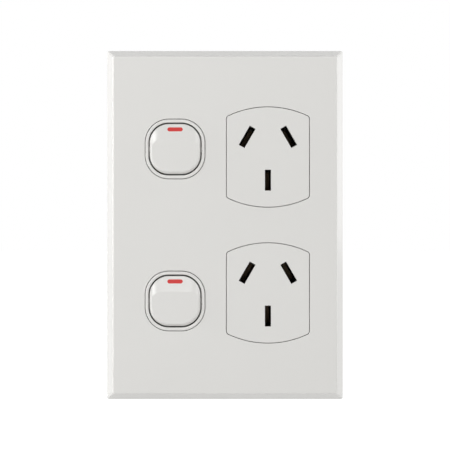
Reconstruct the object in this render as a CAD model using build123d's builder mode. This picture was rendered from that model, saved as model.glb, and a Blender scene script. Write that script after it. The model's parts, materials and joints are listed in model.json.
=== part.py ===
from build123d import *
from math import atan, cos, degrees, radians, sin, tan
import os

# A double socket outlet with two rocker switches, fixed upright on a wall. Sizes are in millimetres.
# X runs right across the plate, Z up it and Y into the wall, whose surface is at Y = 0.
# A height is measured from the wall towards the room; a depth is measured from the wall into it.

# Cover plate
plate_width = 78.5
plate_height = 116.0
plate_depth = 8.0
edge_run = 2.3
cover_wall = 1.8
plate_corner_radius = 0.8
face_edge_radius = 0.6
groove = 0.2
window_edge_radius = 0.12
collar_wall = 1.2
collar_gap = 0.1
hook_spacing = 62.0
hook_length = 8.0
hook_overlap = 0.7
hook_height = 0.9
hook_land = 0.3
hook_lift = 0.2

# Mounting frame
frame_thickness = 2.5
frame_gap = 0.5
frame_corner_radius = 2.0
fixing_centres = 84.0
fixing_hole_radius = 2.2
fixing_head_radius = 4.2
fixing_recess = 0.8
module_fit = 0.15
boss_radius = 3.0
boss_gap = 0.7
pilot_radius = 1.25
core_depth = 1.2
core_width = 11.0
core_height = 12.0
core_pitch = 13.0

# Flanges of the socket faces and the switch bodies, which lie on the front of the frame
flange_margin = 1.4
flange_thickness = 1.8

# Socket faces, one above the other on the right
socket_x = 14.15
socket_spacing = 44.8
socket_side_margin = 6.75
socket_end_margin = 9.315
socket_bow = 3.2
socket_corner_radius = 1.1
socket_wall = 1.4
socket_face_thickness = 2.6
insert_edge_radius = 0.18

# Flat-pin layout, measured from the middle of the three pins' standard grid
pin_pitch = 13.7
live_rise = 3.96
earth_drop = 10.31
pin_lean = 30.0
grid_rise = 2.7
live_slot_length = 7.3
live_slot_width = 2.2
earth_slot_length = 6.9
earth_slot_width = 2.0

# Contact blocks behind the socket faces
cavity_across = 4.4
cavity_along = 7.1
block_wall = 0.9
block_corner_radius = 1.0
block_face_gap = 0.1
ledge_gap = 0.15
ledge_length = 16.0
ledge_thickness = 1.2
core_skin = 4.0
core_wall = 1.1
latch_length = 5.0
latch_height = 2.2
latch_land = 0.7
latch_reach = 0.6
latch_gap = 0.05

# Switch rings and bodies, one above the other on the left
switch_x = -16.45
switch_spacing = 50.1
ring_size = 19.55
ring_radius = 7.7
ring_side_wall = 1.025
ring_end_wall = 1.075
ring_proud = 0.35
ring_edge_radius = 0.4
well_floor = 2.3
switch_box_side_inset = 0.775
switch_box_end_inset = 0.275
switch_box_wall = 1.2
switch_box_corner = 1.2

# Rockers, drawn switched off: the top pressed in and the lower pad parallel to the plate
rocker_side_gap = 0.4
rocker_end_gap = 0.45
rocker_proud = 1.2
rocker_travel = 10.0
rocker_wall = 1.2
rocker_skirt = 4.3
rocker_ceiling = 6.1
rocker_edge_radius = 0.3
pad_edge_radius = 0.6
shoulder_edge_radius = 0.5
pad_inset = 0.55
pad_end_inset = 0.8
crest_margin = 5.25
shoulder_run = 3.5
shoulder_drop = 2.0
slope_angle = 14.0
slope_overrun = 1.0
side_angle = 60.0
pivot_sink = 2.8
trunnion_radius = 1.1
trunnion_clearance = 0.05
trunnion_grip = 0.8
marker_length = 5.1
marker_height = 1.35
marker_margin = 1.8
marker_depth = 0.8

# Spring and plunger in each rocker
barrel_radius = 2.6
barrel_root = 1.0
bore_radius = 1.65
plunger_clearance = 0.08
plunger_length = 5.9
plunger_showing = 3.4
plunger_tip_radius = 1.2
tip_clearance = 0.1
spring_start = 2.6
spring_radius = 1.25
spring_wire = 0.2
spring_turns = 5

# Current-carrying strips, which lie on the floor of the rear housing
strip_depth = 12.5
strip_thickness = 0.8
strip_width = 3.6
strip_gap = 0.1
clip_width = 6.0
clip_thickness = 0.5
clip_root_gap = 2.9
clip_throat_gap = 1.3
clip_mouth_gap = 2.7
clip_throat_depth = 5.5
clip_mouth_depth = 2.0
switch_strip_width = 4.0

# Contact arm, which rocks on a ridge of the active contact
ridge_height = 3.2
ridge_radius = 0.5
ridge_base = 3.0
ridge_length = 4.0
arm_width = 5.0
arm_up = 6.9
arm_down = 5.4
arm_thickness = 0.9
arm_corner_radius = 1.25
arm_standoff = 0.15
arm_tilt = 8.0
groove_clearance = 0.1
button_radius = 1.3
button_height = 0.5
button_place = 5.4
button_gap = 0.06
finger_width = 3.6
busbar_offset = 6.15

# Terminals and rear housing
terminal_width = 7.0
terminal_length = 9.0
active_terminal_offset = 2.45
earth_terminal_offset = 8.15
wire_bore_radius = 2.1
wire_gap = 0.8
terminal_cap = 2.4
clamp_radius = 1.7
clamp_head_radius = 2.7
clamp_head_height = 1.6
clamp_head_gap = 1.0
driver_slot = 0.8
driver_slot_depth = 0.8
terminal_fit = 0.15
turret_wall = 1.5
funnel_clearance = 0.5
housing_wall = 1.4
housing_gap = 0.35
housing_floor_thickness = 1.8
housing_corner_radius = 3.0
housing_edge_radius = 0.8
screw_fit = 0.02
screw_length = 11.0
screw_head_radius = 2.6
screw_head_height = 1.4
screw_hole_clearance = 0.25

# Heights and depths that follow from the sizes above
edge_slope = degrees(atan(edge_run / plate_depth))
cover_under = plate_depth - cover_wall
flange_top = frame_thickness + flange_thickness
collar_foot = flange_top + collar_gap
socket_recess_top = plate_depth - socket_face_thickness
block_front = socket_recess_top - block_face_gap
module_rear = strip_depth - strip_gap
strip_back = strip_depth + strip_thickness
housing_floor = strip_back + strip_gap
housing_back = housing_floor + housing_floor_thickness
wire_depth = housing_back + wire_gap + wire_bore_radius
terminal_back = wire_depth + wire_bore_radius + terminal_cap
clamp_tip = wire_depth + wire_bore_radius + strip_gap
clamp_seat = terminal_back + clamp_head_gap
turret_back = clamp_seat + clamp_head_height
pivot_height = plate_depth - pivot_sink
pad_height = plate_depth + rocker_proud
ring_height = plate_depth + ring_proud
arm_axis = strip_depth - ridge_height + ridge_radius
arm_front = arm_axis - arm_standoff - arm_thickness
tip_reach = pivot_height + arm_front - tip_clearance
plunger_rear = tip_reach - plunger_length
barrel_reach = tip_reach - plunger_showing

# Positions that follow from the sizes above
sides = (("upper", 1), ("lower", -1))
busbar_x = switch_x - busbar_offset
active_terminal_x = switch_x + active_terminal_offset
earth_terminal_x = socket_x - earth_terminal_offset
socket_width = pin_pitch + 2 * socket_side_margin
socket_height = live_rise + earth_drop + 2 * socket_end_margin
socket_side = socket_height - 2 * socket_bow
socket_places = [(socket_x, side * socket_spacing / 2) for _, side in sides]
switch_places = [(switch_x, side * switch_spacing / 2) for _, side in sides]
frame_width = plate_width - 2 * (cover_wall + frame_gap + edge_run * frame_thickness / plate_depth)
frame_height = plate_height - 2 * (cover_wall + frame_gap + edge_run * frame_thickness / plate_depth)
well_width = ring_size - 2 * ring_side_wall
well_height = ring_size - 2 * ring_end_wall
well_radius = ring_radius - ring_side_wall
switch_box_width = ring_size - 2 * switch_box_side_inset
switch_box_height = ring_size - 2 * switch_box_end_inset
rocker_width = well_width - 2 * rocker_side_gap
rocker_height = well_height - 2 * rocker_end_gap
rocker_radius = well_radius - rocker_side_gap
pad_top = rocker_height / 2 - crest_margin
pad_bottom = pad_end_inset - rocker_height / 2
pad_side = rocker_width / 2 - pad_inset
marker_rise = rocker_height / 2 - marker_margin
lean_across = cavity_across / 2 * cos(radians(pin_lean)) + cavity_along / 2 * sin(radians(pin_lean))
lean_along = cavity_across / 2 * sin(radians(pin_lean)) + cavity_along / 2 * cos(radians(pin_lean))
block_width = pin_pitch + 2 * (lean_across + block_wall)
block_top = grid_rise + live_rise + lean_along + block_wall
block_bottom = grid_rise - earth_drop - cavity_along / 2 - block_wall
block_height = block_top - block_bottom
block_middle = (block_top + block_bottom) / 2
pins = {
    "active": (-pin_pitch / 2, grid_rise + live_rise, -pin_lean),
    "neutral": (pin_pitch / 2, grid_rise + live_rise, pin_lean),
    "earth": (0.0, grid_rise - earth_drop, 0.0),
}
slots = {
    "active": (live_slot_width, live_slot_length),
    "neutral": (live_slot_width, live_slot_length),
    "earth": (earth_slot_width, earth_slot_length),
}
neutral_terminal_x = socket_x + pin_pitch / 2
terminal_xs = (active_terminal_x, neutral_terminal_x, earth_terminal_x)
spine_left = switch_x + switch_box_width / 2
spine_right = socket_x - block_width / 2
spine_x = (spine_left + spine_right) / 2
reach_right = socket_x + block_width / 2
reach_left = -switch_x + switch_box_width / 2
socket_reach = socket_spacing / 2 + max(block_top, -block_bottom)
switch_reach = switch_spacing / 2 + switch_box_height / 2
reach_up = max(socket_reach, switch_reach)
housing_inner_width = 2 * (max(reach_right, reach_left) + latch_reach + housing_gap)
housing_inner_height = 2 * (reach_up + housing_gap)
housing_width = housing_inner_width + 2 * housing_wall
housing_height = housing_inner_height + 2 * housing_wall
boss_reach = housing_inner_height / 2 - boss_gap - boss_radius
boss_places = [(spine_x, boss_reach), (spine_x, 0.0), (spine_x, -boss_reach)]


def front(height):
    """The plane parallel to the wall at this height, with X to its right and Z up it."""
    return Plane.XZ.offset(height)


def socket_outline(grow):
    """The barrel-shaped outline of a socket face, grown by this much."""
    half_width = socket_width / 2
    half_side = socket_side / 2
    half_height = socket_height / 2
    with BuildSketch(mode=Mode.PRIVATE) as outline:
        with BuildLine():
            ThreePointArc((-half_width, half_side), (0, half_height), (half_width, half_side))
            Line((half_width, half_side), (half_width, -half_side))
            ThreePointArc((half_width, -half_side), (0, -half_height), (-half_width, -half_side))
            Line((-half_width, -half_side), (-half_width, half_side))
        make_face()
        fillet(outline.vertices(), socket_corner_radius)
        if grow:
            offset(amount=grow)
    return outline.sketch


def ring_outline(grow):
    """The rounded-square outline of a switch ring, grown by this much."""
    with BuildSketch(mode=Mode.PRIVATE) as outline:
        RectangleRounded(ring_size + 2 * grow, ring_size + 2 * grow, ring_radius + grow)
    return outline.sketch


def pad_outline(rise, spread, drop):
    """A pad's outline, its crest raised, its other sides spread and its shoulders dropped by this much."""
    crest = pad_top + rise
    crest_end = pad_side - shoulder_run
    edge = pad_side + spread
    foot = pad_bottom - spread
    with BuildSketch(mode=Mode.PRIVATE) as outline:
        with BuildLine():
            Line((-crest_end, crest), (crest_end, crest))
            TangentArc((crest_end, crest), (edge, crest - drop), tangent=(1, 0))
            Polyline((edge, crest - drop), (edge, foot), (-edge, foot), (-edge, crest - drop))
            TangentArc((-crest_end, crest), (-edge, crest - drop), tangent=(-1, 0))
        make_face()
        fillet(outline.vertices().group_by(Axis.Y)[0], rocker_radius - pad_inset + spread)
    return outline.sketch


def pin_plane(pin, socket_z):
    """The plane across a pin: its X is across the pin's flat sides and its Y is the depth."""
    across, rise, lean = pins[pin]
    turn = radians(lean)
    return Plane(
        origin=(socket_x + across, 0, socket_z + rise),
        x_dir=(cos(turn), 0, sin(turn)),
        z_dir=(-sin(turn), 0, cos(turn)),
    )


def clip_leaves(pin, socket_z):
    """The two spring leaves that grip one pin, standing on the strip behind it."""
    with BuildPart(mode=Mode.PRIVATE) as leaves:
        with BuildSketch(pin_plane(pin, socket_z)):
            with BuildLine():
                Polyline(
                    (clip_root_gap / 2, strip_back),
                    (clip_throat_gap / 2, clip_throat_depth),
                    (clip_mouth_gap / 2, clip_mouth_depth),
                    (clip_mouth_gap / 2 + clip_thickness, clip_mouth_depth),
                    (clip_throat_gap / 2 + clip_thickness, clip_throat_depth),
                    (clip_root_gap / 2 + clip_thickness, strip_back),
                    close=True,
                )
            make_face()
            mirror(about=Plane.YZ)
        extrude(amount=clip_width / 2, both=True)
    return leaves.part


def save(part, name):
    """Names a finished piece and writes it."""
    part.label = name
    export_step(part, f"parts/{name}.step")


os.makedirs("parts", exist_ok=True)
clip_base_width = clip_root_gap + 2 * clip_thickness


# Cover plate: a shell with sloping, mitred sides, four collared windows and clip hooks
hook_root = plate_width / 2 - cover_wall / 2
hook_tip = frame_width / 2 - hook_overlap
hook_top = hook_lift + hook_height
with BuildPart() as cover_plate:
    with BuildSketch(front(0)):
        Rectangle(plate_width, plate_height)
    extrude(amount=plate_depth, taper=edge_slope)
    slanted = [edge for edge in cover_plate.edges() if edge.bounding_box().size.Y > plate_depth / 2]
    fillet(slanted, plate_corner_radius)
    fillet(cover_plate.faces().sort_by(Axis.Y)[0].edges(), face_edge_radius)
    with BuildSketch(front(0)):
        Rectangle(plate_width - 2 * cover_wall, plate_height - 2 * cover_wall)
    extrude(amount=cover_under, taper=edge_slope, mode=Mode.SUBTRACT)
    with BuildSketch(front(collar_foot)):
        with Locations(*socket_places):
            add(socket_outline(groove + collar_wall))
        with Locations(*switch_places):
            add(ring_outline(groove + collar_wall))
    extrude(amount=cover_under - collar_foot)
    with BuildSketch(front(collar_foot)):
        with Locations(*socket_places):
            add(socket_outline(groove))
        with Locations(*switch_places):
            add(ring_outline(groove))
    extrude(amount=plate_depth - collar_foot, mode=Mode.SUBTRACT)
    face = cover_plate.faces().sort_by(Axis.Y)[0]
    fillet([edge for wire in face.inner_wires() for edge in wire.edges()], window_edge_radius)
    for hook_z in (-hook_spacing / 2, hook_spacing / 2):
        with BuildSketch(Plane.XY.offset(hook_z)):
            with BuildLine():
                Polyline(
                    (hook_root, -hook_lift),
                    (hook_tip + hook_overlap, -hook_lift),
                    (hook_tip, -hook_top + hook_land),
                    (hook_tip, -hook_top),
                    (hook_root, -hook_top),
                    close=True,
                )
            make_face()
            mirror(about=Plane.YZ)
        extrude(amount=hook_length / 2, both=True)
save(cover_plate.part, "cover_plate")


# Mounting frame: carries the modules in four windows and is screwed to the wall box
boss_depth = housing_floor
notch_top = hook_top + hook_lift
fixing_zs = (fixing_centres / 2, -fixing_centres / 2)
with BuildPart() as mounting_frame:
    with BuildSketch(front(0)):
        RectangleRounded(frame_width, frame_height, frame_corner_radius)
    extrude(amount=frame_thickness)
    with BuildSketch(front(0)):
        with Locations(*[(x, z + block_middle) for x, z in socket_places]):
            RectangleRounded(
                block_width + 2 * module_fit,
                block_height + 2 * module_fit,
                block_corner_radius + module_fit,
            )
        with Locations(*switch_places):
            RectangleRounded(
                switch_box_width + 2 * module_fit,
                switch_box_height + 2 * module_fit,
                switch_box_corner + module_fit,
            )
    extrude(amount=frame_thickness, mode=Mode.SUBTRACT)
    with BuildSketch(front(0)):
        with Locations(*[(step * core_pitch, z) for step in (-2, -1, 1, 2) for z in fixing_zs]):
            Rectangle(core_width, core_height)
    extrude(amount=core_depth, mode=Mode.SUBTRACT)
    with BuildSketch(front(0)):
        with GridLocations(frame_width, hook_spacing, 2, 2):
            Rectangle(2 * (hook_overlap + frame_gap), hook_length + 2 * frame_gap)
    extrude(amount=notch_top, mode=Mode.SUBTRACT)
    with BuildSketch(front(0)):
        with Locations(*boss_places):
            Circle(boss_radius)
    extrude(amount=-boss_depth)
    with BuildSketch(front(-boss_depth)):
        with Locations(*boss_places):
            Circle(pilot_radius)
    extrude(amount=boss_depth, mode=Mode.SUBTRACT)
    with BuildSketch(front(0)):
        with Locations(*[(0, z) for z in fixing_zs]):
            Circle(fixing_hole_radius)
    extrude(amount=frame_thickness, mode=Mode.SUBTRACT)
    with BuildSketch(front(frame_thickness)):
        with Locations(*[(0, z) for z in fixing_zs]):
            Circle(fixing_head_radius)
    extrude(amount=-fixing_recess, mode=Mode.SUBTRACT)
save(mounting_frame.part, "mounting_frame")


# Socket faces and the black contact blocks behind them
for place, side in sides:
    socket_z = side * socket_spacing / 2

    with BuildPart() as socket_face:
        with BuildSketch(front(frame_thickness)):
            with Locations((socket_x, socket_z)):
                add(socket_outline(0))
        extrude(amount=plate_depth - frame_thickness)
        fillet(socket_face.faces().sort_by(Axis.Y)[0].edges(), insert_edge_radius)
        with BuildSketch(front(frame_thickness)):
            with Locations((socket_x, socket_z)):
                add(socket_outline(flange_margin))
        extrude(amount=flange_thickness)
        with BuildSketch(front(frame_thickness)):
            with Locations((socket_x, socket_z)):
                add(socket_outline(-socket_wall))
        extrude(amount=socket_recess_top - frame_thickness, mode=Mode.SUBTRACT)
        with BuildSketch(front(socket_recess_top)):
            for pin, (across, rise, lean) in pins.items():
                with Locations(Location((socket_x + across, socket_z + rise), lean)):
                    Rectangle(*slots[pin])
        extrude(amount=socket_face_thickness, mode=Mode.SUBTRACT)
    save(socket_face.part, f"socket_face_{place}")

    pocket_top = grid_rise - core_wall
    pocket_bottom = block_bottom + block_wall
    pocket_left = cavity_across / 2 + core_wall
    pocket_right = block_width / 2 - core_wall
    spine_top = grid_rise + live_rise + cavity_along / 2 * cos(radians(pin_lean))
    spine_bottom = grid_rise - earth_drop + cavity_along / 2 + core_wall
    with BuildPart() as contact_block:
        with BuildSketch(front(-module_rear)):
            with Locations((socket_x, socket_z + block_middle)):
                RectangleRounded(block_width, block_height, block_corner_radius)
        extrude(amount=module_rear + block_front)
        with BuildSketch(front(frame_thickness)):
            with Locations((socket_x, socket_z + block_middle)):
                Rectangle(socket_width - 2 * (socket_wall + ledge_gap), ledge_length)
        extrude(amount=ledge_thickness)
        with BuildSketch(front(-module_rear)):
            for across, rise, lean in pins.values():
                with Locations(Location((socket_x + across, socket_z + rise), lean)):
                    Rectangle(cavity_across, cavity_along)
        extrude(amount=module_rear + block_front, mode=Mode.SUBTRACT)
        with BuildSketch(front(-module_rear)):
            with Locations((socket_x, socket_z + (spine_top + spine_bottom) / 2)):
                Rectangle(cavity_across, spine_top - spine_bottom)
            for pocket_side in (-1, 1):
                pocket_x = socket_x + pocket_side * (pocket_left + pocket_right) / 2
                with Locations((pocket_x, socket_z + (pocket_top + pocket_bottom) / 2)):
                    Rectangle(pocket_right - pocket_left, pocket_top - pocket_bottom)
        extrude(amount=module_rear + block_front - core_skin, mode=Mode.SUBTRACT)
        with BuildSketch(Plane.XY.offset(socket_z + block_middle)):
            for latch_side in (-1, 1):
                wall_x = socket_x + latch_side * (block_width / 2 - block_wall / 2)
                edge_x = socket_x + latch_side * block_width / 2
                with BuildLine():
                    Polyline(
                        (wall_x, latch_gap),
                        (edge_x + latch_side * latch_reach, latch_gap),
                        (edge_x + latch_side * latch_reach, latch_gap + latch_land),
                        (edge_x, latch_gap + latch_height),
                        (wall_x, latch_gap + latch_height),
                        close=True,
                    )
                make_face()
        extrude(amount=latch_length / 2, both=True)
    save(contact_block.part, f"contact_block_{place}")


# Switch bodies: the ring seen in the face, the rocker's well and the mechanism box behind it
for place, side in sides:
    switch_z = side * switch_spacing / 2
    with BuildPart() as switch_body:
        with BuildSketch(front(frame_thickness)):
            with Locations((switch_x, switch_z)):
                add(ring_outline(0))
        extrude(amount=ring_height - frame_thickness)
        with BuildSketch(front(well_floor)):
            with Locations((switch_x, switch_z)):
                RectangleRounded(well_width, well_height, well_radius)
        extrude(amount=ring_height - well_floor, mode=Mode.SUBTRACT)
        fillet(switch_body.faces().sort_by(Axis.Y)[0].edges(), ring_edge_radius)
        with BuildSketch(front(frame_thickness)):
            with Locations((switch_x, switch_z)):
                add(ring_outline(flange_margin))
                RectangleRounded(well_width, well_height, well_radius, mode=Mode.SUBTRACT)
        extrude(amount=flange_thickness)
        with BuildSketch(front(-module_rear)):
            with Locations((switch_x, switch_z)):
                RectangleRounded(switch_box_width, switch_box_height, switch_box_corner)
        extrude(amount=module_rear + frame_thickness)
        with BuildSketch(front(-module_rear)):
            with Locations((switch_x, switch_z)):
                Rectangle(switch_box_width - 2 * switch_box_wall, switch_box_height - 2 * switch_box_wall)
        extrude(amount=module_rear + well_floor, mode=Mode.SUBTRACT)
        with BuildSketch(front(well_floor)):
            with Locations((switch_x, switch_z)):
                RectangleRounded(well_width, well_height, well_radius)
        extrude(amount=frame_thickness - well_floor, mode=Mode.SUBTRACT)
        with BuildSketch(Plane.YZ.offset(switch_x)):
            with Locations((-pivot_height, switch_z)):
                Circle(trunnion_radius + trunnion_clearance)
        extrude(amount=ring_size, both=True, mode=Mode.SUBTRACT)
        with BuildSketch(Plane.XY.offset(switch_z)):
            for latch_side in (-1, 1):
                wall_x = switch_x + latch_side * (switch_box_width / 2 - switch_box_wall / 2)
                edge_x = switch_x + latch_side * switch_box_width / 2
                with BuildLine():
                    Polyline(
                        (wall_x, latch_gap),
                        (edge_x + latch_side * latch_reach, latch_gap),
                        (edge_x + latch_side * latch_reach, latch_gap + latch_land),
                        (edge_x, latch_gap + latch_height),
                        (wall_x, latch_gap + latch_height),
                        close=True,
                    )
                make_face()
        extrude(amount=latch_length / 2, both=True)
    save(switch_body.part, f"switch_body_{place}")


# Rockers with their markers, springs, plungers and contact arms
half_travel = radians(rocker_travel / 2)
slope_run = crest_margin + slope_overrun
slope_drop = slope_run * tan(radians(slope_angle))
side_spread = slope_drop / tan(radians(side_angle))
marker_surface = pad_height - (marker_rise - pad_top) * tan(radians(slope_angle))
marker_floor = marker_surface - marker_depth
trunnion_end = well_width / 2 + trunnion_grip
arm_turn = radians(arm_tilt)
for place, side in sides:
    switch_z = side * switch_spacing / 2

    with BuildPart() as rocker_top:
        with BuildSketch(front(pad_height)):
            with Locations((switch_x, switch_z)):
                add(pad_outline(0, 0, shoulder_drop))
        with BuildSketch(front(pad_height - slope_drop)):
            with Locations((switch_x, switch_z)):
                add(pad_outline(slope_run, side_spread, shoulder_run + side_spread))
        loft(ruled=True)
        with BuildSketch(front(pad_height - slope_drop)):
            with Locations((switch_x, switch_z)):
                add(pad_outline(slope_run, side_spread, shoulder_run + side_spread))
        extrude(amount=-plate_depth)
        upper_edges = [edge for edge in rocker_top.edges() if edge.bounding_box().min.Z > switch_z]
        falling = [edge for edge in upper_edges if edge.bounding_box().max.Y < -rocker_ceiling]
        leaning = [edge for edge in falling if edge.bounding_box().size.Y > slope_drop / 2]
        shoulders = [edge for edge in leaning if edge.bounding_box().size.X > side_spread / 2]
        fillet(shoulders, shoulder_edge_radius)
        fillet(rocker_top.faces().sort_by(Axis.Y)[0].edges(), pad_edge_radius)

    with BuildPart() as rocker:
        with BuildSketch(front(rocker_skirt)):
            with Locations((switch_x, switch_z)):
                RectangleRounded(rocker_width, rocker_height, rocker_radius)
        extrude(amount=pad_height - rocker_skirt)
        add(rocker_top.part, mode=Mode.INTERSECT)
        front_edges = [edge for edge in rocker.edges() if edge.bounding_box().max.Y < -rocker_ceiling]
        rim = [edge for edge in front_edges if edge.bounding_box().min.Y > -ring_height]
        fillet(rim, rocker_edge_radius)
        with BuildSketch(front(rocker_skirt)):
            with Locations((switch_x, switch_z)):
                RectangleRounded(
                    rocker_width - 2 * rocker_wall,
                    rocker_height - 2 * rocker_wall,
                    rocker_radius - rocker_wall,
                )
        extrude(amount=rocker_ceiling - rocker_skirt, mode=Mode.SUBTRACT)
        with BuildSketch(Plane.YZ.offset(switch_x)):
            with Locations((-pivot_height, switch_z)):
                Circle(trunnion_radius)
        extrude(amount=trunnion_end, both=True)
        barrel_plane = Plane(
            origin=(switch_x, -pivot_height, switch_z),
            x_dir=(1, 0, 0),
            z_dir=(0, cos(half_travel), -sin(half_travel)),
        )
        with BuildSketch(barrel_plane.offset(-barrel_root)):
            Circle(barrel_radius)
        extrude(amount=barrel_root + barrel_reach)
        with BuildSketch(barrel_plane.offset(spring_start)):
            Circle(bore_radius)
        extrude(amount=barrel_reach - spring_start, mode=Mode.SUBTRACT)
        with BuildSketch(front(marker_floor)):
            with Locations((switch_x, switch_z + marker_rise)):
                SlotOverall(marker_length, marker_height)
        extrude(amount=pad_height - marker_floor, mode=Mode.SUBTRACT)
    save(rocker.part, f"rocker_{place}")

    with BuildPart() as on_marker:
        with BuildSketch(front(marker_floor)):
            with Locations((switch_x, switch_z + marker_rise)):
                SlotOverall(marker_length, marker_height)
        extrude(amount=pad_height - marker_floor)
        add(rocker_top.part, mode=Mode.INTERSECT)
    save(on_marker.part, f"on_marker_{place}")

    with BuildPart() as plunger:
        with BuildSketch(barrel_plane.offset(plunger_rear)):
            Circle(bore_radius - plunger_clearance)
        extrude(amount=plunger_length)
        tip = plunger.faces().sort_by(Axis.Y)[-1]
        fillet(tip.edges(), plunger_tip_radius)
    save(plunger.part, f"plunger_{place}")

    spring_length = plunger_rear - spring_start - 2 * spring_wire
    spring_foot = barrel_plane.origin + barrel_plane.z_dir * (spring_start + spring_wire)
    with BuildPart() as plunger_spring:
        with BuildLine() as coil:
            Helix(
                pitch=spring_length / spring_turns,
                height=spring_length,
                radius=spring_radius,
                center=spring_foot,
                direction=barrel_plane.z_dir,
            )
        with BuildSketch(Plane(origin=coil.line @ 0, z_dir=coil.line % 0)):
            Circle(spring_wire)
        sweep()
    save(plunger_spring.part, f"plunger_spring_{place}")

    arm_plane = Plane(
        origin=(switch_x, arm_axis, switch_z),
        x_dir=(1, 0, 0),
        z_dir=(0, -cos(arm_turn), -sin(arm_turn)),
    )
    with BuildPart() as contact_arm:
        with BuildSketch(arm_plane.offset(arm_standoff)):
            with Locations((0, (arm_up - arm_down) / 2)):
                RectangleRounded(arm_width, arm_up + arm_down, arm_corner_radius)
        extrude(amount=arm_thickness)
        with BuildSketch(Plane.YZ.offset(switch_x)):
            with Locations((arm_axis, switch_z)):
                Circle(ridge_radius + groove_clearance)
        extrude(amount=arm_width, both=True, mode=Mode.SUBTRACT)
    save(contact_arm.part, f"contact_arm_{place}")

    with BuildPart() as arm_contact:
        with BuildSketch(arm_plane.offset(arm_standoff)):
            with Locations((0, button_place)):
                Circle(button_radius)
        extrude(amount=-button_height)
    save(arm_contact.part, f"arm_contact_{place}")


# Active contacts: the clip for one socket, linked to the ridge that its switch arm rocks on
for place, side in sides:
    socket_z = side * socket_spacing / 2
    switch_z = side * switch_spacing / 2
    across, rise, lean = pins["active"]
    clip_x = socket_x + across
    clip_z = socket_z + rise
    link_left = switch_x - ridge_length / 2
    link_right = clip_x + strip_width / 2
    link_low = min(switch_z - switch_strip_width / 2, clip_z)
    link_high = max(switch_z + switch_strip_width / 2, clip_z)
    leaves = clip_leaves("active", socket_z)
    with BuildPart() as active_contact:
        with BuildSketch(front(-strip_depth)):
            with Locations(Location((clip_x, clip_z), lean)):
                Rectangle(clip_base_width, clip_width)
            with Locations(((link_left + link_right) / 2, switch_z)):
                Rectangle(link_right - link_left, switch_strip_width)
            with Locations((clip_x, (link_low + link_high) / 2)):
                Rectangle(strip_width, link_high - link_low)
        extrude(amount=-strip_thickness)
        add(leaves)
        with BuildSketch(Plane.YZ.offset(switch_x)):
            with BuildLine():
                Polyline(
                    (strip_depth, switch_z - ridge_base / 2),
                    (arm_axis, switch_z - ridge_radius),
                    (arm_axis, switch_z + ridge_radius),
                    (strip_depth, switch_z + ridge_base / 2),
                    close=True,
                )
            make_face()
            with Locations((arm_axis, switch_z)):
                Circle(ridge_radius)
        extrude(amount=ridge_length / 2, both=True)
    save(active_contact.part, f"active_contact_{place}")


# Active busbar with a finger to each switch, and the fixed contact buttons on the fingers
finger_zs = [switch_z + button_place for _, switch_z in switch_places]
finger_end = switch_x + button_radius + strip_gap
button_tilt = (button_place + button_radius) * sin(arm_turn)
button_front = arm_axis + button_tilt + (button_height - arm_standoff) * cos(arm_turn) + button_gap
with BuildPart() as active_busbar:
    with BuildSketch(front(-strip_depth)):
        with Locations((busbar_x, (finger_zs[0] + finger_zs[1]) / 2)):
            Rectangle(strip_width, finger_zs[0] - finger_zs[1] + finger_width)
        for finger_z in finger_zs:
            with Locations(((busbar_x + finger_end) / 2, finger_z)):
                Rectangle(finger_end - busbar_x, finger_width)
        with Locations(((busbar_x + active_terminal_x + terminal_width / 2) / 2, 0)):
            Rectangle(active_terminal_x + terminal_width / 2 - busbar_x, terminal_length)
    extrude(amount=-strip_thickness)
save(active_busbar.part, "active_busbar")

with BuildPart() as fixed_contacts:
    with BuildSketch(front(-strip_depth)):
        with Locations(*[(switch_x, finger_z) for finger_z in finger_zs]):
            Circle(button_radius)
    extrude(amount=strip_depth - button_front)
save(fixed_contacts.part, "fixed_contacts")


# Neutral and earth strips: two clips each, linked, with a pad over their terminal
for circuit, terminal_x in (("neutral", neutral_terminal_x), ("earth", earth_terminal_x)):
    across, rise, lean = pins[circuit]
    clip_x = socket_x + across
    clip_zs = [socket_z + rise for _, socket_z in socket_places]
    upper_leaves = clip_leaves(circuit, socket_places[0][1])
    lower_leaves = clip_leaves(circuit, socket_places[1][1])
    pad_left = terminal_x - terminal_width / 2
    pad_right = max(terminal_x + terminal_width / 2, clip_x)
    with BuildPart() as strip:
        with BuildSketch(front(-strip_depth)):
            for clip_z in clip_zs:
                with Locations(Location((clip_x, clip_z), lean)):
                    Rectangle(clip_base_width, clip_width)
            with Locations((clip_x, (clip_zs[0] + clip_zs[1]) / 2)):
                Rectangle(strip_width, clip_zs[0] - clip_zs[1])
            with Locations(((pad_left + pad_right) / 2, 0)):
                Rectangle(pad_right - pad_left, terminal_length)
        extrude(amount=-strip_thickness)
        add(upper_leaves)
        add(lower_leaves)
    save(strip.part, f"{circuit}_strip")


# Terminals: brass blocks with a wire tunnel along Z and a clamp screw from the back, backed off
for circuit, terminal_x in zip(("active", "neutral", "earth"), terminal_xs):
    with BuildPart() as terminal:
        with BuildSketch(front(-strip_back)):
            with Locations((terminal_x, 0)):
                Rectangle(terminal_width, terminal_length)
        extrude(amount=strip_back - terminal_back)
        with BuildSketch(Plane.XY):
            with Locations((terminal_x, wire_depth)):
                Circle(wire_bore_radius)
        extrude(amount=terminal_length, both=True, mode=Mode.SUBTRACT)
        with BuildSketch(front(-terminal_back)):
            with Locations((terminal_x, 0)):
                Circle(clamp_radius)
        extrude(amount=terminal_back - wire_depth, mode=Mode.SUBTRACT)
    save(terminal.part, f"{circuit}_terminal")

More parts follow.
